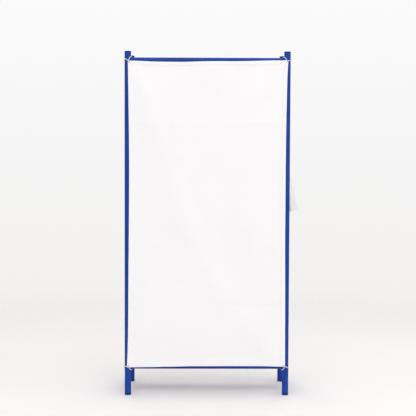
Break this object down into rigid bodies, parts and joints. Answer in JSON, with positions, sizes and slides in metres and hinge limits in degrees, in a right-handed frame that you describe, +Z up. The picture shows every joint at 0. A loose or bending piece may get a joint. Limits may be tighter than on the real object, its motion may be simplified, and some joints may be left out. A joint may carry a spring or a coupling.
{
  "type": "freestanding fabric screen",
  "caption": "Tall, shallow box frame of round blue tube that stands on its posts, with white cloths tied across its front and back by cords at the corners.",
  "frame": {"origin": "on the floor, at the middle of the whole screen's box, which the loose tail at the right makes wider than the frame", "axes": "+X to the right along the screen as seen from its front, +Y from the front to the rear, +Z up along the posts"},
  "size_m": [0.9381, 0.4128, 1.8],
  "materials": {
    "blue_powder_coat": "satin powder coat on steel tube",
    "dark_blue_plastic": "moulded, matte",
    "white_cotton": "plain weave cotton canvas",
    "white_cord": "twisted cotton cord"
  },
  "bodies": {
    "frame": {"front_left_post": "blue_powder_coat", "front_right_post": "blue_powder_coat", "rear_left_post": "blue_powder_coat", "rear_right_post": "blue_powder_coat", "front_top_rail": "blue_powder_coat", "front_bottom_rail": "blue_powder_coat", "rear_top_rail": "blue_powder_coat", "rear_bottom_rail": "blue_powder_coat", "left_top_rail": "blue_powder_coat", "left_bottom_rail": "blue_powder_coat", "right_top_rail": "blue_powder_coat", "right_bottom_rail": "blue_powder_coat", "front_left_top_cap": "dark_blue_plastic", "front_left_foot_cap": "dark_blue_plastic", "front_right_top_cap": "dark_blue_plastic", "front_right_foot_cap": "dark_blue_plastic", "rear_left_top_cap": "dark_blue_plastic", "rear_left_foot_cap": "dark_blue_plastic", "rear_right_top_cap": "dark_blue_plastic", "rear_right_foot_cap": "dark_blue_plastic", "front_sheet": "white_cotton", "rear_sheet": "white_cotton", "front_top_left_tie": "white_cord", "front_top_right_tie": "white_cord", "front_bottom_left_tie": "white_cord", "front_bottom_right_tie": "white_cord", "rear_top_left_tie": "white_cord", "rear_top_right_tie": "white_cord", "rear_bottom_left_tie": "white_cord", "rear_bottom_right_tie": "white_cord", "side_strip_loop": "white_cotton"},
    "strip_tail": {"side_strip_tail": "white_cotton"}
  },
  "joints": [
    {"name": "strip_tail_swing", "type": "hinge", "parent": "frame", "child": "strip_tail", "pos_m": [0.40174, 0.15255, 1.24], "axis": [0, -1, 0], "range_deg": [-90, 90]}
  ]
}
